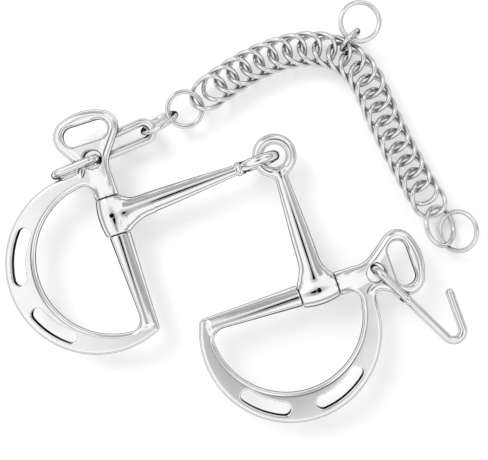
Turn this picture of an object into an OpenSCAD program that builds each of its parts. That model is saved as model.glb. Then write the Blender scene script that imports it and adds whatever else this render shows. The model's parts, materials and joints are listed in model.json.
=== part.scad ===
// Curb bit: two D cheeks with rein slots, a jointed mouthpiece whose barrels turn on the
// cheeks' axles, two curb hooks and a double-link curb chain that hangs on the left hook.
// Millimetres. The bit lies flat and folded: X and Y span the table and +Z points up.
// The origin is the point on the table below the middle of the folded bit's box.

/* [Cheeks] */
// Thickness of the flat cheek plates
plate_t = 4.6; // [4:0.1:5]
// Radius of the D's outer edge
d_radius = 39; // [38.5:0.1:39.5]
// Radius of the D's opening
d_opening_radius = 32.8; // [32:0.1:33]
// Width of the rein slots
rein_slot_w = 5.8; // [5:0.1:5.9]
// Length of the cheekpiece strap slot, across the bar
strap_slot_l = 19.6; // [18:0.1:20]
// Width of the cheekpiece strap slot, along the bar
strap_slot_w = 8.4; // [7:0.1:8.6]
// Radius of the curb hook's hole
hook_hole_r = 4; // [3.8:0.05:4.1]
// Radius of the axle that each barrel turns on
axle_r = 3.4; // [3:0.1:3.6]
// Radius of the round shoulders beside each barrel
shoulder_r = 4.87; // [4.5:0.01:5]

/* [Mouthpiece] */
// Half the length of a barrel
barrel_half = 8.1; // [7.5:0.1:8.2]
// Radius at the middle of a barrel
barrel_mid_r = 6.1; // [5.8:0.1:6.3]
// Radius at the ends of a barrel
barrel_end_r = 5; // [4.9:0.05:5.2]
// Radial play of a barrel on its axle
barrel_play = 0.05; // [0.02:0.01:0.1]
// Mean radius of the mouthpiece eyes
eye_r = 7.15; // [7.1:0.05:7.2]
// Section radius of the mouthpiece eyes
eye_wire_r = 2.25; // [2:0.05:2.4]

/* [Curb hooks] */
// Wire radius of the hooks
hook_wire_r = 1.7; // [1.5:0.05:1.75]
// Distance from a hook's free end to the centre of its U-bend
hook_l = 41.5; // [41:0.1:42]
// Centreline length of the closed eye
hook_eye_l = 18.9; // [18.5:0.1:19.2]
// Height of each strand of the eye above or below the plate's middle
hook_strand_z = 4.9; // [4.8:0.05:5]
// Centreline radius of the U-bend
hook_bend_r = 4; // [3.9:0.05:4.1]
// Straight length of the open tail
hook_tail_l = 17.3; // [15:0.1:18]

/* [Curb chain] */
// Half the length of a chain link, to the wire's centreline
link_half_l = 7.9; // [7.8:0.05:8]
// Half the width of a chain link, to the wire's centreline
link_half_w = 6.6; // [6.4:0.05:6.7]
// Rise and fall of a chain link's saddle
link_saddle = 2.5; // [2.4:0.05:2.6]
// Wire radius of the chain links
link_wire_r = 1; // [0.9:0.05:1]
// Wire radius of the hook ring and the joining ring
ring_wire_r = 1.05; // [0.9:0.05:1.1]
// Wire radius of the two rings on the chain's free end
end_ring_wire_r = 1; // [0.9:0.05:1]
// Wire radius of the fly link, which carries a lip strap
fly_wire_r = 1; // [0.9:0.05:1.1]
// Wire radius of the small ring that holds the fly link
fly_holder_wire_r = 0.9; // [0.8:0.05:1]

/* [Hidden] */
BIT_NODES = ["left_cheek", "right_cheek", "left_cannon", "right_cannon",
    "left_curb_hook", "right_curb_hook"];
RING_NODES = ["hook_ring", "joining_ring", "end_ring", "spare_end_ring", "fly_link_holder", "fly_link"];
LINK_NODES = ["chain_link_01", "chain_link_02", "chain_link_03", "chain_link_04",
    "chain_link_05", "chain_link_06", "chain_link_07", "chain_link_08", "chain_link_09",
    "chain_link_10", "chain_link_11", "chain_link_12", "chain_link_13", "chain_link_14",
    "chain_link_15", "chain_link_16", "chain_link_17", "chain_link_18", "chain_link_19",
    "chain_link_20", "chain_link_21", "chain_link_22"];
$fn = 64;
steel = [0.80, 0.81, 0.82];
// a cut runs this far past the faces it opens
past = 1;

// the right cannon's eye, where the two cannons hook together: places below are measured from it
eye_at = [13.604, 23.484, 13.605];
module laid() {
    translate(eye_at) children();
}

// resting places: each barrel's centre, and the heading of the bar through it
left_barrel_at = [-68.97, -25.94];
left_bar_heading = 107.6;
right_barrel_at = [18.85, -57.6];
right_bar_heading = 19.1;
left_cannon_heading = 20.61;
right_cannon_heading = 108.12;
// distance from each barrel's axis to its cannon's eye
left_cannon_l = 66.54;
right_cannon_l = 60.61;
// the cannons stand this far off square to their bars
left_cant = left_cannon_heading - (left_bar_heading - 90);
right_cant = right_cannon_heading - (right_bar_heading + 90);

// points on an arc about c
function arc(c, r, from, to, steps = 24) =
    [for (i = [0:steps]) let (a = from + (to - from) * i / steps) c + r * [cos(a), sin(a)]];
function heading(v) = atan2(v[1], v[0]);
function unit(v) = v / norm(v);
function turn_of(a, b) = let (t = b - a) t > 180 ? t - 360 : t < -180 ? t + 360 : t;
// one corner [x, y, radius] of an outline, as the arc that rounds it
function rounded_corner(before, at, after) =
    let (
        p = [at[0], at[1]],
        into = heading(p - [before[0], before[1]]),
        out = heading([after[0], after[1]] - p),
        turn = turn_of(into, out),
        side = sign(turn),
        back = at[2] * tan(abs(turn) / 2),
        c = p - back * [cos(into), sin(into)] + side * at[2] * [-sin(into), cos(into)]
    )
    at[2] == 0 ? [p] : arc(c, at[2], into - 90 * side, into - 90 * side + turn, 10);
function rounded_outline(corners) =
    let (n = len(corners))
    [for (i = [0:n - 1])
        each rounded_corner(corners[(i + n - 1) % n], corners[i], corners[(i + 1) % n])];

// ---- cheeks: x runs along the bar towards the strap loop, y towards the D ----
d_centre = [-17, 12.5];
mouth_edge = -4.7;
d_opening_centre = [-16.5, 5.5];
// the opening's straight side runs beside the bar, a little out of square
d_flat_tilt = 3.6;
d_flat_from_centre = 2.33;
d_top_corner_r = 4;
d_low_corner_r = 6;
rein_slot_r = 33;
// angles of the slots' ends about the D's centre
rein_slots = [[50.7, 84.2], [113.8, 143]];
hook_hole_at = [25.6, 0.8];
strap_slot_at = [37.3, 0.4];
shoulder_gap = 0.3;
shoulder_at = barrel_half + shoulder_gap;
// neck, strap loop and notch: corners as [x, y, rounding radius]
head_corners = [[8, mouth_edge, 0], [23.2, mouth_edge, 12], [40.85, -17.86, 7], [48.6, -0.5, 23],
    [41.1, 18.28, 8], [23.54, 7.13, 3], [20.2, 14.8, 0], [8, 16, 0]];

// the corner circle, of radius r, that touches the opening's arc and its straight side
function d_corner(r, side) =
    let (
        up = r - d_flat_from_centre,
        along = side * sqrt(pow(d_opening_radius - r, 2) - up * up)
    )
    [along, up];
module d_opening() {
    top = d_corner(d_top_corner_r, 1);
    low = d_corner(d_low_corner_r, -1);
    translate(d_opening_centre) rotate(d_flat_tilt) polygon(concat(
        arc([0, 0], d_opening_radius, heading(top), heading(low), 60),
        arc(low, d_low_corner_r, heading(low), 270, 12),
        arc(top, d_top_corner_r, -90, heading(top), 10)));
}
module rein_slot(ends) {
    r = rein_slot_w / 2;
    function end_at(a) = rein_slot_r * [cos(a), sin(a)];
    translate(d_centre) polygon(concat(
        arc([0, 0], rein_slot_r + r, ends[0], ends[1], 16),
        arc(end_at(ends[1]), r, ends[1], ends[1] + 180, 12),
        arc([0, 0], rein_slot_r - r, ends[1], ends[0], 16),
        arc(end_at(ends[0]), r, ends[0] + 180, ends[0] + 360, 12)));
}
module strap_slot() {
    w = strap_slot_w / 2;
    l = strap_slot_l / 2;
    r = strap_slot_w / 2 - 0.2;
    translate(strap_slot_at) polygon(rounded_outline([[-w, -l, r], [w, -l, r], [w, l, r], [-w, l, r]]));
}
module d_plate() {
    low_edge = asin((mouth_edge - d_centre[1]) / d_radius);
    translate([0, 0, -plate_t / 2]) linear_extrude(plate_t)
        polygon(concat(arc(d_centre, d_radius, low_edge, 180 - low_edge, 90)));
}
module cut(from = -plate_t / 2) {
    translate([0, 0, from - past]) linear_extrude(plate_t + 2 * past) children();
}
// round shoulders beside the barrel, fading into the plate, with the axle between them
module bar() {
    neck_end = 24;
    foot_end = -49;
    foot_r = 3.2;
    neck_end_r = plate_t / 2 - 0.4;
    rotate([0, 90, 0]) {
        translate([0, 0, shoulder_at]) cylinder(h = neck_end - shoulder_at, r1 = shoulder_r, r2 = neck_end_r);
        translate([0, 0, foot_end]) cylinder(h = -shoulder_at - foot_end, r1 = foot_r, r2 = shoulder_r);
        translate([0, 0, -shoulder_at - past]) cylinder(h = 2 * (shoulder_at + past), r = axle_r);
    }
}
module barrel_room() {
    room = 7;
    translate([-shoulder_at, -room, -room]) cube([2 * shoulder_at, 2 * room, 2 * room]);
}
module cheek() {
    difference() {
        union() {
            difference() {
                union() {
                    d_plate();
                    translate([0, 0, -plate_t / 2]) linear_extrude(plate_t)
                        polygon(rounded_outline(head_corners));
                }
                barrel_room();
            }
            bar();
        }
        translate([0, 0, -shoulder_r]) linear_extrude(2 * shoulder_r) difference() {
            d_opening();
            translate([-shoulder_at - past, -shoulder_r]) square([2 * (shoulder_at + past), 2 * shoulder_r]);
        }
        for (ends = rein_slots) cut() rein_slot(ends);
        cut() strap_slot();
        translate([hook_hole_at[0], hook_hole_at[1], -plate_t]) cylinder(h = 2 * plate_t, r = hook_hole_r);
    }
}
module left_cheek() {
    color(steel) laid() translate(left_barrel_at) rotate(left_bar_heading) cheek();
}
module right_cheek() {
    color(steel) laid() translate(right_barrel_at) rotate(right_bar_heading) mirror([0, 1, 0]) cheek();
}

// ---- cannons: x runs from the barrel's axis to the eye ----
flare_l = 18;
shaft_r = 4.6;
// the cannon tapers: [distance from the barrel's axis, radius], and meets the eye at neck_r
taper = [[4, shaft_r], [flare_l, shaft_r], [27, 4.1], [40, 3.4], [52, 2.5]];
neck_r = 2;
vent_r = 0.95;
vent_x = 0.6;
collar_r = 3.1;
collar_l = 1.4;
function barrel_r(y) = barrel_mid_r - (barrel_mid_r - barrel_end_r) * pow(y / barrel_half, 2);
// the flare's half width: as wide as the barrel, drawing in until it is inside the shaft
flare_end_r = shaft_r - 0.2;
function flare_r(x) =
    flare_end_r + (barrel_half - flare_end_r) * pow(min(1, (flare_l - x) / (flare_l - 5)), 2);
module barrel() {
    steps = 10;
    rotate([90, 0, 0]) rotate_extrude() polygon(concat([[0, -barrel_half]],
        [for (i = [-steps:steps]) let (y = barrel_half * i / steps) [barrel_r(y), y]],
        [[0, barrel_half]]));
}
module flare() {
    steps = 9;
    top = barrel_end_r + 0.5;
    intersection() {
        rotate([0, 90, 0]) rotate_extrude() polygon(concat([[0, 0], [barrel_half, 0]],
            [for (i = [0:steps]) let (x = 5 + (flare_l - 5) * i / steps) [flare_r(x), x]],
            [[0, flare_l]]));
        rotate([90, 0, 0]) linear_extrude(2 * barrel_half, center = true)
            polygon([[0, -top], [flare_l, -shaft_r], [flare_l, shaft_r], [0, top]]);
    }
}
module shaft(ends_at) {
    rotate([0, 90, 0]) rotate_extrude() polygon(concat([[0, taper[0][0]]],
        [for (t = taper) [t[1], t[0]]], [[neck_r, ends_at], [0, ends_at]]));
}
module cannon(length, cant, upright, collar_at = 0) {
    difference() {
        union() {
            rotate(-cant) {
                barrel();
                flare();
            }
            shaft(length - eye_r);
            translate([length, 0, 0]) rotate([upright ? 90 : 0, 0, 0]) rotate_extrude()
                translate([eye_r, 0]) circle(eye_wire_r);
            if (collar_at > 0) translate([collar_at, 0, 0]) rotate([0, 90, 0])
                cylinder(h = collar_l, r = collar_r, center = true);
        }
        rotate(-cant) {
            rotate([90, 0, 0]) cylinder(h = 2 * barrel_half + 2 * past, r = axle_r + barrel_play, center = true);
            translate([vent_x, 0, 0]) cylinder(h = 2 * barrel_mid_r, r = vent_r);
        }
    }
}
module left_cannon() {
    left_collar_at = 57.2;
    color(steel) laid() translate(left_barrel_at) rotate(left_cannon_heading)
        cannon(left_cannon_l, left_cant, true, left_collar_at);
}
module right_cannon() {
    color(steel) laid() translate(right_barrel_at) rotate(right_cannon_heading)
        cannon(right_cannon_l, right_cant, false);
}

// ---- curb hooks: x runs from the eye's free end to the U-bend; the shank lies at +z ----
left_hook_at = [-93.5, -8.65];
left_hook_heading = 22.5;
left_hook_turn = 182;
right_hook_at = [42.7, -48];
right_hook_heading = -44.3;
right_hook_turn = 154;
// a straight run: a hair thinner than the bends, with its ends set a little way into them
wire_step = 0.02;
wire_set_in = 0.3;
module wire(l, far_end = wire_set_in) {
    translate([-wire_set_in, 0, 0]) rotate([0, 90, 0])
        cylinder(h = l + wire_set_in + far_end, r = hook_wire_r - wire_step);
}
module bend(r, turn) {
    // starts at the origin heading along x, and turns towards +y
    translate([0, r, 0]) rotate(-90) rotate_extrude(angle = turn) translate([r, 0]) circle(hook_wire_r);
}
module curb_hook(turn) {
    z = hook_strand_z;
    weld_r = 2.6;
    straight = hook_eye_l - z - weld_r;
    // upper strand, shank, U-bend and open tail
    translate([z, 0, z]) wire(hook_l - z);
    translate([hook_l, 0, z]) {
        bend(hook_bend_r, turn);
        translate(hook_bend_r * [sin(turn), 1 - cos(turn), 0]) rotate(turn) wire(hook_tail_l, 0);
    }
    // the eye's free end, lower strand and the rise to the weld
    translate([z, 0, z]) rotate([90, 180, 0]) bend(z, 180);
    translate([z, 0, -z]) wire(straight);
    translate([z + straight, 0, -z]) rotate([90, 0, 0]) bend(weld_r, 90);
    translate([z + straight + weld_r, 0, weld_r - z]) rotate([0, -90, 0]) wire(2 * z - weld_r, 0);
}
module left_curb_hook() {
    color(steel) laid() translate(left_hook_at) rotate(left_hook_heading)
        mirror([0, 0, 1]) curb_hook(left_hook_turn);
}
module right_curb_hook() {
    color(steel) laid() translate(right_hook_at) rotate(right_hook_heading) curb_hook(right_hook_turn);
}

// ---- round rings: centre, heading of the long axis as seen from above, tilt about it ----
module round_ring(at, long_axis, tilt, r, wire_r) {
    color(steel) laid() translate(at) rotate([0, 0, long_axis]) rotate([tilt, 0, 0])
        rotate_extrude() translate([r, 0]) circle(wire_r);
}
module hook_ring() round_ring([-49.7, 14.7, -5.1], 29, -67, 8.1, ring_wire_r);
module joining_ring() round_ring([-38.6, 20.75, -5.6], 30, 9, 7.5, ring_wire_r);
module end_ring() round_ring([72.4, -30.1, -6.3], 110, 37, 8.6, end_ring_wire_r);
module spare_end_ring() round_ring([80, -32.3, -5.7], 98, -41, 8.6, end_ring_wire_r);
module fly_link_holder() round_ring([32.9, 50.5, -4.5], 47, 82, 5.2, fly_holder_wire_r);
module fly_link() round_ring([36.8, 57.7, -1.8], 0, 0, 8.3, fly_wire_r);

// ---- double-link curb chain ----
first_link_at = [-28.4, 27.6];
link_pitch = 6.5;
chain_z = -5.5;
// heading of each step from one link to the next
step_headings = [36, 34, 31, 27, 22, 17, 10, 1, -11, -25, -39, -53, -64, -67, -66, -64, -63,
    -62, -61, -60, -58];
function link_at(i) = i == 0 ? first_link_at
    : link_at(i - 1) + link_pitch * [cos(step_headings[i - 1]), sin(step_headings[i - 1])];
function link_heading(i) =
    let (last = len(step_headings) - 1)
    (step_headings[max(0, i - 1)] + step_headings[min(last, i)]) / 2;
// the wire follows an oval that rises and falls twice a turn, so that links nest in each other
function saddle(t) = [link_half_l * cos(t), link_half_w * sin(t), link_saddle * sin(2 * t)];
function saddle_way(t) = unit([-link_half_l * sin(t), link_half_w * cos(t), 2 * link_saddle * cos(2 * t)]);
module saddle_link() {
    n = 40;
    m = 10;
    points = [for (i = [0:n - 1]) let (
            t = 360 * i / n,
            way = saddle_way(t),
            across = unit(cross(way, [0, 0, 1])),
            up = cross(across, way)
        )
        for (j = [0:m - 1]) let (a = 360 * j / m)
            saddle(t) + link_wire_r * (cos(a) * across + sin(a) * up)];
    faces = [for (i = [0:n - 1], j = [0:m - 1]) let (
            a = i * m + j,
            b = i * m + (j + 1) % m,
            c = ((i + 1) % n) * m + (j + 1) % m,
            d = ((i + 1) % n) * m + j
        )
        each [[a, b, c], [a, c, d]]];
    polyhedron(points, faces);
}
module chain_link(i) {
    at = link_at(i);
    color(steel) laid() translate([at[0], at[1], chain_z]) rotate(link_heading(i)) saddle_link();
}

left_cheek();
right_cheek();
left_cannon();
right_cannon();
left_curb_hook();
right_curb_hook();
hook_ring();
joining_ring();
end_ring();
spare_end_ring();
fly_link_holder();
fly_link();
for (i = [0:len(LINK_NODES) - 1]) chain_link(i);
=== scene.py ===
"""A curb bit lying folded on a white table: polished cheeks, mouthpiece, hooks and curb chain.

Every piece is a fine mesh that stands for one CAD node. The cheeks, cannons and hooks are smooth blended
solids: each is a distance field, negative inside the steel, that surface_net() turns into a mesh. The rings
and chain links are tubes fitted to the CAD nodes. Fields work in millimetres in the piece's own frame.
"""

import json
import math

import bpy
import numpy as np
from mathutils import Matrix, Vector


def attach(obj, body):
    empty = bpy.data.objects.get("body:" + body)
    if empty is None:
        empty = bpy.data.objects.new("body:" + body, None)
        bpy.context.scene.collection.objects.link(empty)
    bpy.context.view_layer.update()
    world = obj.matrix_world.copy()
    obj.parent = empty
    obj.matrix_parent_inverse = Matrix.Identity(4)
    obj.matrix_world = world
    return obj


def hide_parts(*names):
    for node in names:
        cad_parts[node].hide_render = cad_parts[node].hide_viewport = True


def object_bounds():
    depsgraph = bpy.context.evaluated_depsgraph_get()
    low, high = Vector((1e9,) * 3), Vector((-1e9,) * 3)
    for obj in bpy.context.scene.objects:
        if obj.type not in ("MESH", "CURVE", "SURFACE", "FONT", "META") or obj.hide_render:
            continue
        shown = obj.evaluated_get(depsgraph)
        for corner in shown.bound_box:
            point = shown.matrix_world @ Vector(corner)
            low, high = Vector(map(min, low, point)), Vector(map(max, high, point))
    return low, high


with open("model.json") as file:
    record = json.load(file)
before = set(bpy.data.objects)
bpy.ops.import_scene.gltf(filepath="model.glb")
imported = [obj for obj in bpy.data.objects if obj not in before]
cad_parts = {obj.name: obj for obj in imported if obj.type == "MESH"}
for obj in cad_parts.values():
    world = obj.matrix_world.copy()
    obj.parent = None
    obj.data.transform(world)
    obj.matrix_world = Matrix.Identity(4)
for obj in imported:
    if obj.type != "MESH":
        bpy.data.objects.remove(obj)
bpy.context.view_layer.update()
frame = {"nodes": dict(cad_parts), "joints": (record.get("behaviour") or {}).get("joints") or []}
MM = 0.001
JOINTS = {joint["name"]: joint for joint in frame["joints"]}
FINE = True


# ---- distance fields ----
def smooth_union(a, b, k):
    """a and b together, with a soft fillet about k wide where they meet."""
    h = np.clip(0.5 + 0.5 * (b - a) / k, 0, 1)
    return b * (1 - h) + a * h - k * h * (1 - h)


def round_both(a, b, r):
    """Where a and b overlap, with the edge between them rounded by r."""
    return np.minimum(-r, np.maximum(a, b)) + np.hypot(np.maximum(a + r, 0), np.maximum(b + r, 0))


def smooth_step(x, start, end):
    t = np.clip((x - start) / (end - start), 0, 1)
    return t * t * (3 - 2 * t)


def rod(x, y, z, start, end, r):
    """A round rod with hemispherical ends."""
    start, along = np.array(start, float), np.array(end, float) - start
    t = np.clip(((x - start[0]) * along[0] + (y - start[1]) * along[1] + (z - start[2]) * along[2])
                / (along @ along), 0, 1)
    return np.sqrt((x - start[0] - t * along[0]) ** 2 + (y - start[1] - t * along[1]) ** 2
                   + (z - start[2] - t * along[2]) ** 2) - r


def bent_rod(u, v, w, radius, start, end, r):
    """A rod bent round the origin of the u, v plane, from angle start to angle end in degrees."""
    middle, half = math.radians((start + end) / 2), math.radians((end - start) / 2)
    angle = np.arctan2(v, u) - middle
    angle = np.clip((angle + math.pi) % (2 * math.pi) - math.pi, -half, half) + middle
    return np.sqrt((u - radius * np.cos(angle)) ** 2 + (v - radius * np.sin(angle)) ** 2 + w ** 2) - r


def arc_points(centre, r, start, end, steps):
    angles = np.radians(np.linspace(start, end, steps + 1))
    return [(centre[0] + r * math.cos(a), centre[1] + r * math.sin(a)) for a in angles]


def rounded_outline(corners):
    """The outline through corners (x, y, radius), each corner rounded by an arc."""
    points = []
    for i, (x, y, r) in enumerate(corners):
        before, after = Vector(corners[i - 1][:2]), Vector(corners[(i + 1) % len(corners)][:2])
        at = Vector((x, y))
        into, out = (at - before).normalized(), (after - at).normalized()
        turn = math.atan2(into.cross(out), into.dot(out))
        if r == 0:
            points.append((x, y))
            continue
        side = math.copysign(1, turn)
        centre = at - into * r * math.tan(abs(turn) / 2) + side * r * Vector((-into.y, into.x))
        start = math.degrees(math.atan2(into.y, into.x)) - 90 * side
        points += arc_points(centre, r, start, start + math.degrees(turn), 12)
    return points


def outline_distance(x, y, points):
    """Distance to a closed outline, negative inside."""
    nearest, inside = np.inf, False
    for (ax, ay), (bx, by) in zip(points, points[1:] + points[:1]):
        ex, ey = bx - ax, by - ay
        t = np.clip(((x - ax) * ex + (y - ay) * ey) / max(ex * ex + ey * ey, 1e-12), 0, 1)
        nearest = np.minimum(nearest, np.hypot(x - ax - t * ex, y - ay - t * ey))
        if ay != by:
            inside = inside ^ (((y > ay) != (y > by)) & (x < ax + ex * (y - ay) / ey))
    return np.where(inside, -nearest, nearest)


# ---- from fields and paths to meshes ----
EVENING_ROUNDS = 3
# shares of a grid step: how far apart a slope is measured, and the longest move back onto the surface
SLOPE_REACH = 0.2
LONGEST_MOVE = 0.5
LEAST_SLOPE_SQUARED = 0.05


def surface_net(field, low, high, step):
    """Vertices, quads and vertex normals of the field's surface, on a grid that is step wide."""
    axes = [np.arange(a - 2 * step, b + 2.5 * step, step) for a, b in zip(low, high)]
    values = field(axes[0][:, None, None], axes[1][None, :, None], axes[2][None, None, :])
    inside = values < 0
    sides = (slice(None, -1), slice(1, None))
    corners = [(i, j, k) for i in (0, 1) for j in (0, 1) for k in (0, 1)]
    count = sum(inside[sides[i], sides[j], sides[k]].astype(int) for i, j, k in corners)
    cells = np.argwhere((count > 0) & (count < 8))
    number = np.full(count.shape, -1)
    number[tuple(cells.T)] = np.arange(len(cells))
    # a cell's vertex is the mean of the places where the surface crosses the cell's edges
    total, crossings = np.zeros((len(cells), 3)), np.zeros(len(cells))
    at = {c: values[tuple((cells + c).T)] for c in corners}
    for a in corners:
        for axis in range(3):
            if a[axis]:
                continue
            b = tuple(1 if n == axis else a[n] for n in range(3))
            crossed = (at[a] < 0) != (at[b] < 0)
            share = np.where(crossed, at[a] / np.where(crossed, at[a] - at[b], 1), 0)
            place = np.array(a, float) + share[:, None] * (np.array(b) - a)
            total += np.where(crossed[:, None], place, 0)
            crossings += crossed
    origin = np.array([a[0] for a in axes])
    points = origin + step * (cells + total / crossings[:, None])
    quads = []
    for axis in range(3):
        rest = [n for n in range(3) if n != axis]
        first = [slice(None)] * 3
        second = [slice(None)] * 3
        first[axis], second[axis] = slice(None, -1), slice(1, None)
        change = inside[tuple(first)] != inside[tuple(second)]
        edges = np.argwhere(change)
        keep = np.all([(edges[:, n] > 0) & (edges[:, n] < inside.shape[n] - 1) for n in rest], axis=0)
        edges = edges[keep]
        ring = []
        for du, dv in ((1, 1), (0, 1), (0, 0), (1, 0)):
            cell = edges.copy()
            cell[:, rest[0]] -= du
            cell[:, rest[1]] -= dv
            ring.append(number[tuple(cell.T)])
        ring = np.stack(ring, 1)
        flip = inside[tuple(edges.T)] ^ (axis == 1)
        ring[~flip] = ring[~flip][:, ::-1]
        quads.append(ring)
    quads = np.concatenate(quads)
    # evening out the net and pulling it back onto the surface gives clean reflections
    for _ in range(EVENING_ROUNDS):
        points = on_surface(field, evened(points, quads), step)
    points = on_surface(field, points, step)
    return points, quads, gradient(field, points, step)


def gradient(field, points, step):
    """The field's slope at each point."""
    h = step * SLOPE_REACH
    x, y, z = points.T
    return np.stack([field(x + h, y, z) - field(x - h, y, z), field(x, y + h, z) - field(x, y - h, z),
                     field(x, y, z + h) - field(x, y, z - h)], 1) / (2 * h)


def on_surface(field, points, step):
    """The points, moved along the field's slope towards its surface."""
    slope = gradient(field, points, step)
    square = np.maximum((slope ** 2).sum(1), LEAST_SLOPE_SQUARED)
    move = field(*points.T)[:, None] * slope / square[:, None]
    length = np.maximum(np.linalg.norm(move, axis=1), 1e-9)
    return points - move * np.minimum(1, LONGEST_MOVE * step / length)[:, None]


def evened(points, quads):
    """Each point, moved half way to the middle of its neighbours."""
    total, count = np.zeros_like(points), np.zeros(len(points))
    for n in range(4):
        here, there = quads[:, n], quads[:, (n + 1) % 4]
        np.add.at(total, here, points[there])
        np.add.at(total, there, points[here])
        np.add.at(count, here, 1)
        np.add.at(count, there, 1)
    return points + 0.5 * (total / np.maximum(count, 1)[:, None] - points)


def tube(path, normal, r, sides):
    """A closed tube of radius r along a closed path that winds about normal."""
    way = np.roll(path, -1, 0) - np.roll(path, 1, 0)
    way /= np.linalg.norm(way, axis=1)[:, None]
    across = np.cross(way, normal)
    across /= np.linalg.norm(across, axis=1)[:, None]
    up = np.cross(across, way)
    angles = np.linspace(0, 2 * math.pi, sides, endpoint=False)
    out = np.cos(angles)[None, :, None] * across[:, None] + np.sin(angles)[None, :, None] * up[:, None]
    points = (path[:, None] + r * out).reshape(-1, 3)
    i = np.repeat(np.arange(len(path)), sides)
    j = np.tile(np.arange(sides), len(path))
    after, beside = (i + 1) % len(path), (j + 1) % sides
    quads = np.stack([i * sides + j, i * sides + beside, after * sides + beside, after * sides + j], 1)
    return points, quads, out.reshape(-1, 3)


def piece(node, points, quads, normals, material):
    """A smooth mesh that stands for a CAD node. Points are in metres, in the row frame."""
    # the quads wind outward, so that the normals agree with them
    corner = points[quads]
    face = np.cross(corner[:, 2] - corner[:, 0], corner[:, 3] - corner[:, 1])
    if (face * normals[quads].mean(1)).sum() < 0:
        quads = quads[:, ::-1]
    mesh = bpy.data.meshes.new(node + "_steel")
    mesh.from_pydata(points.tolist(), [], quads.tolist())
    mesh.polygons.foreach_set("use_smooth", [True] * len(quads))
    length = np.maximum(np.linalg.norm(normals, axis=1), 1e-9)
    mesh.normals_split_custom_set_from_vertices((normals / length[:, None]).tolist())
    mesh.materials.append(material)
    made = bpy.data.objects.new(node + "_steel", mesh)
    bpy.context.scene.collection.objects.link(made)
    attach(made, node)
    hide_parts(node)


def place(points, normals, at, heading, mirrored=()):
    """From a piece's own frame in mm to the row frame in m; mirrored names axes that are flipped first."""
    flip = np.array([-1 if axis in mirrored else 1 for axis in "xyz"])
    c, s = math.cos(heading), math.sin(heading)
    turn = np.array([[c, -s, 0], [s, c, 0], [0, 0, 1]])
    return ((points * flip) @ turn.T) * MM + np.array(at), (normals * flip) @ turn.T


# ---- steel ----
def node_math(tree, operation, a, b):
    made = tree.nodes.new("ShaderNodeMath")
    made.operation = operation
    for slot, value in enumerate((a, b)):
        if isinstance(value, (int, float)):
            made.inputs[slot].default_value = value
        else:
            tree.links.new(value, made.inputs[slot])
    return made.outputs[0]


def map_range(tree, value, from_low, from_high, to_low, to_high):
    made = tree.nodes.new("ShaderNodeMapRange")
    made.interpolation_type = "SMOOTHSTEP"
    tree.links.new(value, made.inputs["Value"])
    ends = {"From Min": from_low, "From Max": from_high, "To Min": to_low, "To Max": to_high}
    for name, number in ends.items():
        made.inputs[name].default_value = number
    return made.outputs[0]


def noise(tree, where, scale, detail, stretch=(1, 1, 1)):
    mapping = tree.nodes.new("ShaderNodeMapping")
    mapping.inputs["Scale"].default_value = stretch
    tree.links.new(where, mapping.inputs["Vector"])
    made = tree.nodes.new("ShaderNodeTexNoise")
    made.inputs["Scale"].default_value = scale
    made.inputs["Detail"].default_value = detail
    tree.links.new(mapping.outputs[0], made.inputs["Vector"])
    return made.outputs["Fac"]


# the painted shade for steel seen edge on, and the tint of the steel's own reflection at grazing angles
EDGE_PAINTED_SHADE = (0.05, 0.05, 0.053, 1)
EDGE_TINT = (0.25, 0.25, 0.26, 1)
# how far a face is turned away where the painted dark edge starts and where it is full
EDGE_SHADE_FACING = (0.5, 0.76)
# the colour of the painted shade in crevices
CREVICE_SHADE_COLOUR = (0.02, 0.02, 0.022, 1)
# the open share of the surroundings below which the painted crevice shade is full
CREVICE_SHADE_FULL = 0.15
SMUDGE_SCALE = 90
LINE_SCALE = 700
PIT_SCALE = 1500
PIT_SHARE = 0.5
# the noise at which smudges and lines start to roughen the steel, or to dull it, and the noise at which
# they do so fully
SMUDGES_ROUGHEN = (0.35, 0.7)
LINES_ROUGHEN = (0.45, 0.75)
SMUDGES_DULL = (0.3, 0.75)
# what smudges multiply the roughness by, from none to full
ROUGHNESS_SPREAD = (0.6, 1.5)
# how much of its brightness the steel keeps under a smudge
SMUDGE_KEEPS = 0.94
BUMP_STRENGTH = 0.05
BUMP_HEIGHT_MM = 0.02


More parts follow.
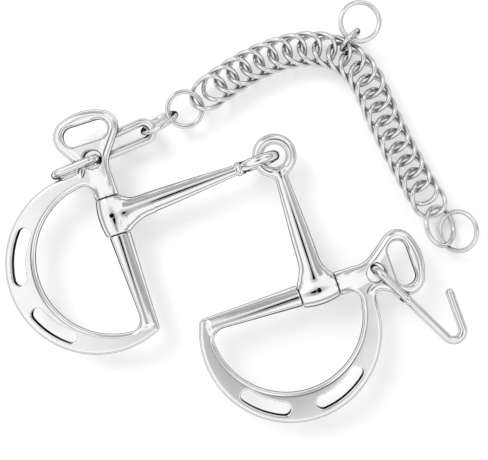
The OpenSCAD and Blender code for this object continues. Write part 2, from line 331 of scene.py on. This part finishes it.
def polished_steel(name, colour, roughness, polish_way, wear, shade_reach=2.5, shade_up_to=0.75):
    """Mirror-polished steel with broad smudges, fine lines, and painted shade on its edges and in its
    crevices.

    polish_way holds the lines' scale along each axis; shade_reach is in mm, and shade_up_to is the open
    share of the surroundings at which the painted crevice shade ends.
    """
    material = bpy.data.materials.new(name)
    material.use_nodes = True
    tree = material.node_tree
    shader = tree.nodes["Principled BSDF"]
    shader.inputs["Metallic"].default_value = 1
    shader.inputs["Specular Tint"].default_value = EDGE_TINT
    where = tree.nodes.new("ShaderNodeTexCoord").outputs["Object"]
    smudges = noise(tree, where, SMUDGE_SCALE, 4)
    lines = noise(tree, where, LINE_SCALE, 5, polish_way)
    pits = noise(tree, where, PIT_SCALE, 2)
    smooth, dull = (roughness * share for share in ROUGHNESS_SPREAD)
    rough = node_math(tree, "ADD", map_range(tree, smudges, *SMUDGES_ROUGHEN, smooth, dull),
                      map_range(tree, lines, *LINES_ROUGHEN, 0, wear))
    tree.links.new(rough, shader.inputs["Roughness"])
    mix = tree.nodes.new("ShaderNodeMix")
    mix.data_type = "RGBA"
    tree.links.new(map_range(tree, smudges, *SMUDGES_DULL, 0, 1), mix.inputs["Factor"])
    mix.inputs["A"].default_value = (*colour, 1)
    mix.inputs["B"].default_value = (*[SMUDGE_KEEPS * c for c in colour], 1)
    # painted reflection: steel seen nearly edge on is painted darker, standing in for the shaded table under
    # it that it would mirror
    edge = tree.nodes.new("ShaderNodeLayerWeight")
    edge.inputs["Blend"].default_value = 0.5
    shade = tree.nodes.new("ShaderNodeMix")
    shade.data_type = "RGBA"
    tree.links.new(map_range(tree, edge.outputs["Facing"], *EDGE_SHADE_FACING, 0, 1), shade.inputs["Factor"])
    tree.links.new(mix.outputs["Result"], shade.inputs["A"])
    shade.inputs["B"].default_value = EDGE_PAINTED_SHADE
    # crevices get painted shade, full where little of the surroundings is open
    crevice = tree.nodes.new("ShaderNodeAmbientOcclusion")
    crevice.inputs["Distance"].default_value = shade_reach * MM
    crevice_shade = tree.nodes.new("ShaderNodeMix")
    crevice_shade.data_type = "RGBA"
    open_share = crevice.outputs["AO"]
    tree.links.new(map_range(tree, open_share, CREVICE_SHADE_FULL, shade_up_to, 0, 1), crevice_shade.inputs["Factor"])
    crevice_shade.inputs["A"].default_value = CREVICE_SHADE_COLOUR
    tree.links.new(shade.outputs["Result"], crevice_shade.inputs["B"])
    tree.links.new(crevice_shade.outputs["Result"], shader.inputs["Base Color"])
    bump = tree.nodes.new("ShaderNodeBump")
    bump.inputs["Strength"].default_value = BUMP_STRENGTH
    bump.inputs["Distance"].default_value = BUMP_HEIGHT_MM * MM
    relief = node_math(tree, "ADD", lines, node_math(tree, "MULTIPLY", pits, PIT_SHARE))
    tree.links.new(relief, bump.inputs["Height"])
    tree.links.new(bump.outputs[0], shader.inputs["Normal"])
    return material


CHEEK_STEEL = polished_steel("cheek_steel", (0.95, 0.95, 0.945), 0.09, (1, 0.08, 1), 0.05)
MOUTH_STEEL = polished_steel("mouth_steel", (0.94, 0.94, 0.94), 0.07, (0.1, 1, 1), 0.04)
HOOK_STEEL = polished_steel("hook_steel", (0.88, 0.88, 0.88), 0.07, (0.2, 1, 1), 0.05, 3, 0.85)
CHAIN_STEEL = polished_steel("chain_steel", (0.86, 0.86, 0.87), 0.06, (0.3, 1, 1), 0.06, 4, 0.95)

# ---- cheeks: x along the bar towards the strap loop, y towards the D, z up ----
CHEEK_STEP = 0.4 if FINE else 0.7
CHEEK_BOX = ((-57, -19, -5.2), (50, 52, 5.2))
PLATE_T = 4.6
PLATE_EDGE_R = 1.9
D_CENTRE = (-17, 12.5)
D_RADIUS = 39
MOUTH_EDGE = -4.7
OUTLINE_CORNER_R = 1.2
OPENING_CENTRE = (-16.5, 5.5)
OPENING_RADIUS = 32.8
OPENING_TILT = math.radians(3.6)
OPENING_FLAT = 2.33
# the opening's corner radius at the neck, what it gains by the bar's far end, and half the stretch that it
# takes to gain it
OPENING_CORNER_R = 4
OPENING_CORNER_GAIN = 2
OPENING_CORNER_HALF = 10
REIN_SLOT_RADIUS = 33
REIN_SLOT_W = 5.8
# where each slot starts and ends round the D, in degrees
REIN_SLOTS = ((50.7, 84.2), (113.8, 143))
# the hole's place and radius
HOOK_HOLE = (25.6, 0.8, 4)
# the slot's middle, its width along the bar and its length across it
STRAP_SLOT = (37.3, 0.4, 8.4, 19.6)
# the neck and the strap loop
HEAD = rounded_outline([(8, MOUTH_EDGE, 0), (23.2, MOUTH_EDGE, 12), (40.85, -17.86, 7), (48.6, -0.5, 23),
                        (41.1, 18.28, 8), (23.54, 7.13, 3), (20.2, 14.8, 0), (8, 16, 0)])
SHOULDER_AT = 8.4
SHOULDER_R = 4.87
BARREL_ROOM = 7
AXLE_R = 3.4
# how far the axle runs into the shoulders
AXLE_ROOT = 1
BAR_ENDS = (-49, 24)
# the bar's radius along it
BAR = ((BAR_ENDS[0], 3.2), (-SHOULDER_AT, SHOULDER_R), (SHOULDER_AT, SHOULDER_R), (BAR_ENDS[1], 2.3))
BAR_END_EDGE_R = 1
BAR_SIDE_EDGE_R = 1.5
BAR_FILLET = 1.6
NECK_FILLET = 1.2
RIM_R = 2.4
# half the rim's height where it shows
RIM_RISE = 2.8
# half the rim's height where it stays inside the plate
RIM_SUNK = 1.9
# it rises along the bar here, sinks again towards the D, and is back from here to the loop
RIM_STARTS_AT_X = (8, 14)
RIM_OFF_PAST_Y = (7, 9)
RIM_ON_PAST_X = (23, 27)
RIM_FILLET = 0.5
SLOT_EDGE_R = 0.5
STRAP_EDGE_R = 1.4
STRAP_END_FLAT = 0.4
HOOK_HOLE_EDGE_R = 0.8
BARREL_ROOM_EDGE_R = 0.5
# the cheek's joint and the axes it is flipped along
CHEEKS = {"left_cheek": ("left_barrel_turn", ""),
          "right_cheek": ("right_barrel_turn", "y")}


def cheek_field(x, y, z):
    slab = np.abs(z) - PLATE_T / 2
    head = outline_distance(x, y, HEAD)
    disc = np.hypot(x - D_CENTRE[0], y - D_CENTRE[1]) - D_RADIUS
    outline = smooth_union(round_both(disc, MOUTH_EDGE - y, OUTLINE_CORNER_R), head, NECK_FILLET)
    c, s = math.cos(OPENING_TILT), math.sin(OPENING_TILT)
    u, v = x - OPENING_CENTRE[0], y - OPENING_CENTRE[1]
    u, v = c * u + s * v, c * v - s * u
    gain = OPENING_CORNER_GAIN * smooth_step(-u, -OPENING_CORNER_HALF, OPENING_CORNER_HALF)
    opening = round_both(np.hypot(u, v) - OPENING_RADIUS, -OPENING_FLAT - v, OPENING_CORNER_R + gain)
    steel = round_both(round_both(outline, slab, PLATE_EDGE_R), -opening, PLATE_EDGE_R)
    # the straight side is a round bar that fades into the plate
    bar = np.hypot(y, z) - np.interp(x, *zip(*BAR))
    bar = round_both(bar, np.maximum(BAR_ENDS[0] - x, x - BAR_ENDS[1]), BAR_END_EDGE_R)
    steel = smooth_union(steel, round_both(bar, -opening, BAR_SIDE_EDGE_R), BAR_FILLET)
    # a raised round rim follows the neck's and the loop's edge
    off = smooth_step(y, *RIM_OFF_PAST_Y) * (1 - smooth_step(x, *RIM_ON_PAST_X))
    shown = smooth_step(x, *RIM_STARTS_AT_X) * (1 - off)
    rise = RIM_SUNK + (RIM_RISE - RIM_SUNK) * shown
    rim = np.hypot(head + RIM_R, z * RIM_R / rise) - RIM_R
    steel = smooth_union(steel, round_both(rim, -opening, BAR_SIDE_EDGE_R), RIM_FILLET)
    for start, end in REIN_SLOTS:
        slot = bent_rod(x - D_CENTRE[0], y - D_CENTRE[1], 0, REIN_SLOT_RADIUS, start, end, REIN_SLOT_W / 2)
        steel = round_both(steel, -slot, SLOT_EDGE_R)
    sx, sy, sw, sl = STRAP_SLOT
    corner = sw / 2 - STRAP_END_FLAT / 2
    strap = np.hypot(np.maximum(np.abs(x - sx) - sw / 2 + corner, 0),
                     np.maximum(np.abs(y - sy) - sl / 2 + corner, 0)) - corner
    steel = round_both(steel, -strap, STRAP_EDGE_R)
    hole_x, hole_y, hole_r = HOOK_HOLE
    steel = round_both(steel, hole_r - np.hypot(x - hole_x, y - hole_y), HOOK_HOLE_EDGE_R)
    room = np.maximum(np.abs(x) - SHOULDER_AT, np.abs(y) - BARREL_ROOM)
    steel = round_both(steel, -room, BARREL_ROOM_EDGE_R)
    return np.minimum(steel, np.maximum(np.hypot(y, z) - AXLE_R, np.abs(x) - SHOULDER_AT - AXLE_ROOT))


def joint_place(name):
    """A joint's place in metres and its axis's heading along the table."""
    joint = JOINTS[name]
    return joint["pos_m"], math.atan2(joint["axis"][1], joint["axis"][0])


def build_cheeks():
    points, quads, normals = surface_net(cheek_field, *CHEEK_BOX, CHEEK_STEP)
    for node, (joint, mirrored) in CHEEKS.items():
        at, heading = joint_place(joint)
        here, out = place(points, normals, at, heading, mirrored)
        piece(node, here, quads, out, CHEEK_STEEL)


# ---- cannons: x from the barrel's axis to the eye, z up ----
CANNON_STEP = 0.3 if FINE else 0.5
# the grid's start behind the barrel, and its half width and half height
CANNON_BOX_START = -7
UPRIGHT_HALF_BOX = (9.5, 10.2)
FLAT_HALF_BOX = (11, 7)
BARREL_HALF = 8.1
# the barrel's radius at its middle and at its ends
BARREL_R = (6.1, 5)
BARREL_END_R = 0.6
BORE_R = 3.45
BORE_EDGE_R = 0.25
# the vent's place beside the barrel's middle, and its radius
VENT = (0.6, 0.95)
VENT_EDGE_R = 0.12
BARREL_FILLET = 1.5
FLARE_L = 18
# the flare is as wide as the barrel up to here
FLARE_FULL_AT = 5
FLARE_END_R = 3.7
FLARE_RISE = 1
SHAFT_FILLET = 0.8
# only this much of the cannon is cut off square with the barrel's ends
BARREL_ENDS_REACH = 25
# the shaft's radius along it, and the places round each point that it is averaged over
SHAFT = ((0, 4.6), (18, 4.6), (27, 4.1), (40, 3.4), (52, 2.5), (60, 2.1))
SHAFT_EVENING = (-6, -3, 0, 3, 6)
EYE_R = 7.15
EYE_WIRE_R = 2.25
EYE_FILLET = 2
# the collar's place along the shaft, its width and its radius
COLLAR = (57.2, 1.4, 3.1)
COLLAR_EDGE_R = 0.6
COLLAR_FILLET = 0.8
# the barrel's joint, which side of the bar the cannon is on, the length to the eye in mm,
# and the heading in degrees
CANNONS = {"left_cannon": ("left_barrel_turn", -1, 66.54, 20.61),
           "right_cannon": ("right_barrel_turn", 1, 60.61, 108.12)}


def shaft_r(x):
    """The taper's radius, averaged over a short stretch so that its corners turn gently."""
    return sum(np.interp(x + d, *zip(*SHAFT)) for d in SHAFT_EVENING) / len(SHAFT_EVENING)


def cannon_field(eye_at, cant, upright):
    """A cannon whose shaft is canted from the barrel's square; the upright eye comes with a collar."""
    c, s = math.cos(cant), math.sin(cant)

    def field(x, y, z):
        # bx and by are square to the barrel
        bx, by = c * x - s * y, s * x + c * y
        middle_r, end_r = BARREL_R
        barrel = np.hypot(bx, z) - (middle_r - (middle_r - end_r) * (by / BARREL_HALF) ** 2)
        shaft = np.hypot(y, z) - shaft_r(x)
        shaft = np.maximum(shaft, np.maximum(-x, x - eye_at + EYE_R))
        share = np.clip((FLARE_L - bx) / (FLARE_L - FLARE_FULL_AT), 0, 1) ** 2
        wide = FLARE_END_R + (BARREL_HALF - FLARE_END_R) * share
        tall = FLARE_END_R + FLARE_RISE * share
        flare = (np.hypot(by / wide, z / tall) - 1) * tall
        flare = np.maximum(flare, np.maximum(-bx, bx - FLARE_L))
        steel = smooth_union(smooth_union(shaft, flare, SHAFT_FILLET), barrel, BARREL_FILLET)
        ends = np.where(bx < BARREL_ENDS_REACH, np.abs(by) - BARREL_HALF, -BARREL_HALF)
        steel = round_both(steel, ends, BARREL_END_R)
        if upright:
            eye = np.hypot(np.hypot(x - eye_at, z) - EYE_R, y) - EYE_WIRE_R
        else:
            eye = np.hypot(np.hypot(x - eye_at, y) - EYE_R, z) - EYE_WIRE_R
        steel = smooth_union(steel, eye, EYE_FILLET)
        if upright:
            at, width, r = COLLAR
            collar = round_both(np.hypot(y, z) - r, np.abs(x - at) - width / 2, COLLAR_EDGE_R)
            steel = smooth_union(steel, collar, COLLAR_FILLET)
        steel = round_both(steel, BORE_R - np.hypot(bx, z), BORE_EDGE_R)
        vent = np.maximum(np.hypot(bx - VENT[0], by) - VENT[1], -z)
        return round_both(steel, -vent, VENT_EDGE_R)
    return field


def build_cannons():
    for node, (joint, bar_side, long, heading) in CANNONS.items():
        at, bar_heading = joint_place(joint)
        heading = math.radians(heading)
        upright = node == "left_cannon"
        side, tall = UPRIGHT_HALF_BOX if upright else FLAT_HALF_BOX
        field = cannon_field(long, heading - bar_heading - bar_side * math.pi / 2, upright)
        points, quads, normals = surface_net(
            field, (CANNON_BOX_START, -side, -tall), (long + EYE_R + EYE_WIRE_R, side, tall), CANNON_STEP)
        here, out = place(points, normals, at, heading)
        piece(node, here, quads, out, MOUTH_STEEL)


# ---- curb hooks: x from the eye's free end to the U-bend; the shank lies at +z ----
HOOK_STEP = 0.28 if FINE else 0.45
HOOK_BOX = ((-1.8, -1.9, -6.8), (48, 16, 6.8))
HOOK_WIRE_R = 1.7
HOOK_L = 41.5
HOOK_EYE_L = 18.9
STRAND_Z = 4.9
BEND_R = 4
TAIL_L = 17.3
WELD_R = 2.6
WELD_FILLET = 0.5
# the cheek's joint, the eye's free end from that joint in mm, the heading and the U-bend's turn in degrees,
# and the axes it is flipped along
HOOKS = {"left_curb_hook": ("left_barrel_turn", (-24.53, 17.29), 22.5, 182, "z"),
         "right_curb_hook": ("right_barrel_turn", (23.85, 9.6), -44.3, 154, "")}


def hook_field(turn):
    """Bent wire: a shank, the U-bend and tail at its end, and an eye that comes back to the shank's weld."""
    tail_from = (HOOK_L + BEND_R * math.sin(math.radians(turn)), BEND_R * (1 - math.cos(math.radians(turn))))
    tail_run = TAIL_L - HOOK_WIRE_R
    tail_to = (tail_from[0] + tail_run * math.cos(math.radians(turn)),
               tail_from[1] + tail_run * math.sin(math.radians(turn)))
    weld_x = HOOK_EYE_L - WELD_R

    def field(x, y, z):
        r = HOOK_WIRE_R
        steel = rod(x, y, z, (STRAND_Z, 0, STRAND_Z), (HOOK_L, 0, STRAND_Z), r)
        steel = np.minimum(steel, bent_rod(x - HOOK_L, y - BEND_R, z - STRAND_Z, BEND_R, -90, turn - 90, r))
        steel = np.minimum(steel, rod(x, y, z, (*tail_from, STRAND_Z), (*tail_to, STRAND_Z), r))
        steel = np.minimum(steel, bent_rod(x - STRAND_Z, z, y, STRAND_Z, 90, 270, r))
        steel = np.minimum(steel, rod(x, y, z, (STRAND_Z, 0, -STRAND_Z), (weld_x, 0, -STRAND_Z), r))
        steel = np.minimum(steel, bent_rod(x - weld_x, z + STRAND_Z - WELD_R, y, WELD_R, -90, 0, r))
        rise = rod(x, y, z, (HOOK_EYE_L, 0, WELD_R - STRAND_Z), (HOOK_EYE_L, 0, STRAND_Z), r)
        return smooth_union(steel, rise, WELD_FILLET)
    return field


def build_hooks():
    for node, (joint, free_end, heading, turn, mirrored) in HOOKS.items():
        points, quads, normals = surface_net(hook_field(turn), *HOOK_BOX, HOOK_STEP)
        at = Vector(JOINTS[joint]["pos_m"]) + Vector((*free_end, 0)) * MM
        here, out = place(points, normals, at, math.radians(heading), mirrored)
        piece(node, here, quads, out, HOOK_STEEL)


# ---- rings and chain links, fitted to their CAD nodes ----
LINK_SADDLE = 2.5 * MM
LINK_WIRE_R = 1.0 * MM
# round wire that fills the same room as the CAD link's ten-sided wire
LINK_TUBE_R = 0.97 * MM
LINKS = 22
PATH_STEPS = 128
RING_SIDES = 24
LINK_SIDES = 20


def own_frame(node):
    """Centre, own axes from the longest to the shortest, and half sizes of a CAD node."""
    points = np.array([v.co for v in frame["nodes"][node].data.vertices])
    _, _, axes = np.linalg.svd(points - points.mean(0), full_matrices=False)
    own = points @ axes.T
    middle, half = (own.max(0) + own.min(0)) / 2, (own.max(0) - own.min(0)) / 2
    own = own - middle
    return middle @ axes, axes, half, own


def build_rings():
    for node in ("hook_ring", "joining_ring", "end_ring", "spare_end_ring", "fly_link_holder", "fly_link"):
        centre, axes, half, _ = own_frame(node)
        wire_r = half[2]
        radius = half[0] - wire_r
        t = np.linspace(0, 2 * math.pi, PATH_STEPS, endpoint=False)[:, None]
        path = centre + radius * (np.cos(t) * axes[0] + np.sin(t) * axes[1])
        piece(node, *tube(path, axes[2], wire_r, RING_SIDES), CHAIN_STEEL)


def build_links():
    for i in range(1, LINKS + 1):
        node = f"chain_link_{i:02d}"
        centre, axes, half, own = own_frame(node)
        # the saddle rises where the two longer axes have the same sign
        rise = math.copysign(LINK_SADDLE, (own[:, 0] * own[:, 1] * own[:, 2]).sum())
        t = np.linspace(0, 2 * math.pi, PATH_STEPS, endpoint=False)[:, None]
        path = (centre + (half[0] - LINK_WIRE_R) * np.cos(t) * axes[0]
                + (half[1] - LINK_WIRE_R) * np.sin(t) * axes[1] + rise * np.sin(2 * t) * axes[2])
        piece(node, *tube(path, axes[2], LINK_TUBE_R, LINK_SIDES), CHAIN_STEEL)


build_cheeks()
build_cannons()
build_hooks()
build_rings()
build_links()

# ---- table, light and camera, in metres ----
TABLE_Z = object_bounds()[0].z
# wide enough that low views don't show its corners
TABLE_SIZE = 30.0
TABLE_GREY = 0.7
# the table's own glow keeps its shadows light
TABLE_GLOW = 0.3
# the camera's place from the left barrel
CAMERA_FROM_BARREL = (56.02 * MM, -5.81 * MM, 330 * MM)
# how wide a stretch the camera sees at the barrel's height
VIEW_WIDTH = 0.2085
SENSOR = 36
SKY = 1.0
KEY_WATTS = 3.4
KEY_SIZE = 0.5
KEY_AT = (-0.45, 0.42, 0.62)
KEY_AIMS_AT = (0, -0.03, 0)
# a patch's direction, its inner and outer reach in degrees, and the share of light it takes off or adds
GREY_PATCH = ((0.06, -0.32, 1), 5, 16, -0.34)
BRIGHT_PATCH = ((-0.45, 0.45, 0.62), 7, 13, 2.0)
# dark cards stand square to the bars and the cannons: their azimuths and their height
DARK_SIDES = (math.radians(18), math.radians(110))
DARK_HEIGHT = math.radians(38)
DARK_REACH = (8, 24)
DARK_SHARE = -0.6
# the sines of the heights at which the tent starts to darken towards its lower edge and is darkest
LOW_EDGE = (0.42, 0.18)
LOW_EDGE_SHARE = -0.62
# the camera's black front and the grey that fades out round it
CAMERA_FRONT_R = (0.048, 0.058)
CAMERA_GREY_R = (0.05, 0.21)
CAMERA_GREY = 0.5
# a darker patch beside the camera, off its axis, that greys the right cheek's lower plate
CAMERA_PATCH_AT = (0.03, -0.11)
CAMERA_PATCH_R = (0.03, 0.085)
CAMERA_PATCH = 0.6
# the disc lies this far above the camera
CAMERA_SHADE_UP = 0.004
SHADE_SIDES = 60


def build_camera_shade(at):
    """A disc that only reflections show: the dark camera, with a grey round it and a darker patch."""
    mesh = bpy.data.meshes.new("camera_shade")
    last = 360 - 360 / SHADE_SIDES
    points = [(x, y, 0) for x, y in arc_points((0, 0), CAMERA_GREY_R[1], 0, last, SHADE_SIDES - 1)]
    mesh.from_pydata(points, [], [range(len(points))])
    shade = bpy.data.objects.new("camera_shade", mesh)
    shade.location = at + Vector((0, 0, CAMERA_SHADE_UP))
    bpy.context.scene.collection.objects.link(shade)
    shade.visible_camera = shade.visible_diffuse = shade.visible_shadow = False
    material = bpy.data.materials.new("camera_front")
    material.use_nodes = True
    tree = material.node_tree
    tree.nodes.clear()
    point = tree.nodes.new("ShaderNodeTexCoord").outputs["Object"]

    def distance_from(x, y):
        made = tree.nodes.new("ShaderNodeVectorMath")
        made.operation = "DISTANCE"
        tree.links.new(point, made.inputs[0])
        made.inputs[1].default_value = (x, y, 0)
        return made.outputs["Value"]

    grey = map_range(tree, distance_from(0, 0), *CAMERA_GREY_R, CAMERA_GREY, SKY)
    front = map_range(tree, distance_from(0, 0), *CAMERA_FRONT_R, 0, 1)
    patch = map_range(tree, distance_from(*CAMERA_PATCH_AT), *CAMERA_PATCH_R, CAMERA_PATCH, 1)
    glow = tree.nodes.new("ShaderNodeEmission")
    tree.links.new(node_math(tree, "MULTIPLY", node_math(tree, "MULTIPLY", grey, front), patch),
                   glow.inputs["Strength"])
    tree.links.new(glow.outputs[0], tree.nodes.new("ShaderNodeOutputMaterial").inputs["Surface"])
    mesh.materials.append(material)


def build_table():
    mesh = bpy.data.meshes.new("table")
    h = TABLE_SIZE / 2
    corners = [(x, y, TABLE_Z) for x, y in ((-h, -h), (h, -h), (h, h), (-h, h))]
    mesh.from_pydata(corners, [], [(0, 1, 2, 3)])
    table = bpy.data.objects.new("table", mesh)
    bpy.context.scene.collection.objects.link(table)
    material = bpy.data.materials.new("white_table")
    material.use_nodes = True
    shader = material.node_tree.nodes["Principled BSDF"]
    shader.inputs["Base Color"].default_value = (TABLE_GREY, TABLE_GREY, TABLE_GREY, 1)
    shader.inputs["Emission Color"].default_value = (1, 1, 1, 1)
    shader.inputs["Emission Strength"].default_value = TABLE_GLOW
    shader.inputs["Roughness"].default_value = 0.9
    shader.inputs["Specular IOR Level"].default_value = 0.1
    mesh.materials.append(material)


def towards(tree, direction, way, near_degrees, far_degrees):
    """1 within near_degrees of a direction, fading to 0 at far_degrees."""
    dot = tree.nodes.new("ShaderNodeVectorMath")
    dot.operation = "DOT_PRODUCT"
    tree.links.new(direction, dot.inputs[0])
    dot.inputs[1].default_value = Vector(way).normalized()
    return map_range(tree, dot.outputs["Value"], math.cos(math.radians(far_degrees)),
                     math.cos(math.radians(near_degrees)), 0, 1)


def adjusted(tree, brightness, factor, share):
    """brightness, with share of it added where factor is 1; a negative share takes it off."""
    return node_math(tree, "MULTIPLY", brightness,
                     node_math(tree, "ADD", 1.0, node_math(tree, "MULTIPLY", factor, share)))


def build_studio():
    """A white tent with a grey and a bright patch, dark cards and a dark lower edge, and its lamp."""
    world = bpy.data.worlds.new("studio")
    bpy.context.scene.world = world
    world.use_nodes = True
    tree = world.node_tree
    direction = tree.nodes.new("ShaderNodeTexCoord").outputs["Generated"]
    split = tree.nodes.new("ShaderNodeSeparateXYZ")
    tree.links.new(direction, split.inputs[0])
    patches = [GREY_PATCH, BRIGHT_PATCH]
    for azimuth in DARK_SIDES:
        side = (math.cos(azimuth) * math.cos(DARK_HEIGHT), math.sin(azimuth) * math.cos(DARK_HEIGHT),
                math.sin(DARK_HEIGHT))
        patches.append((side, *DARK_REACH, DARK_SHARE))
    brightness = SKY
    for way, near, far, share in patches:
        brightness = adjusted(tree, brightness, towards(tree, direction, way, near, far), share)
    low_edge = map_range(tree, split.outputs["Z"], *LOW_EDGE, 0, 1)
    brightness = adjusted(tree, brightness, low_edge, LOW_EDGE_SHARE)
    # seen directly, the tent is plain white down to the table's edge
    seen = tree.nodes.new("ShaderNodeLightPath").outputs["Is Camera Ray"]
    brightness = node_math(tree, "MAXIMUM", brightness, seen)
    background = tree.nodes["Background"]
    background.inputs["Color"].default_value = (1, 1, 1, 1)
    tree.links.new(brightness, background.inputs["Strength"])
    key = bpy.data.lights.new("key", "AREA")
    key.shape = "DISK"
    key.size = KEY_SIZE
    key.energy = KEY_WATTS
    lamp = bpy.data.objects.new("key", key)
    bpy.context.scene.collection.objects.link(lamp)
    lamp.location = KEY_AT
    # the tent's own bright patch stands for the lamp in the steel
    lamp.visible_glossy = False
    aim = Vector(KEY_AIMS_AT) - lamp.location
    lamp.rotation_mode = "QUATERNION"
    lamp.rotation_quaternion = aim.to_track_quat("-Z", "Y")


def build_camera():
    camera = bpy.data.cameras.new("camera")
    camera.sensor_width = SENSOR
    camera.lens = SENSOR * CAMERA_FROM_BARREL[2] / VIEW_WIDTH
    camera.clip_start = 0.01
    made = bpy.data.objects.new("camera", camera)
    made.location = Vector(JOINTS["left_barrel_turn"]["pos_m"]) + Vector(CAMERA_FROM_BARREL)
    bpy.context.scene.collection.objects.link(made)
    bpy.context.scene.camera = made
    return made.location


build_table()
build_studio()
build_camera_shade(build_camera())
bpy.context.scene.view_settings.view_transform = "Standard"
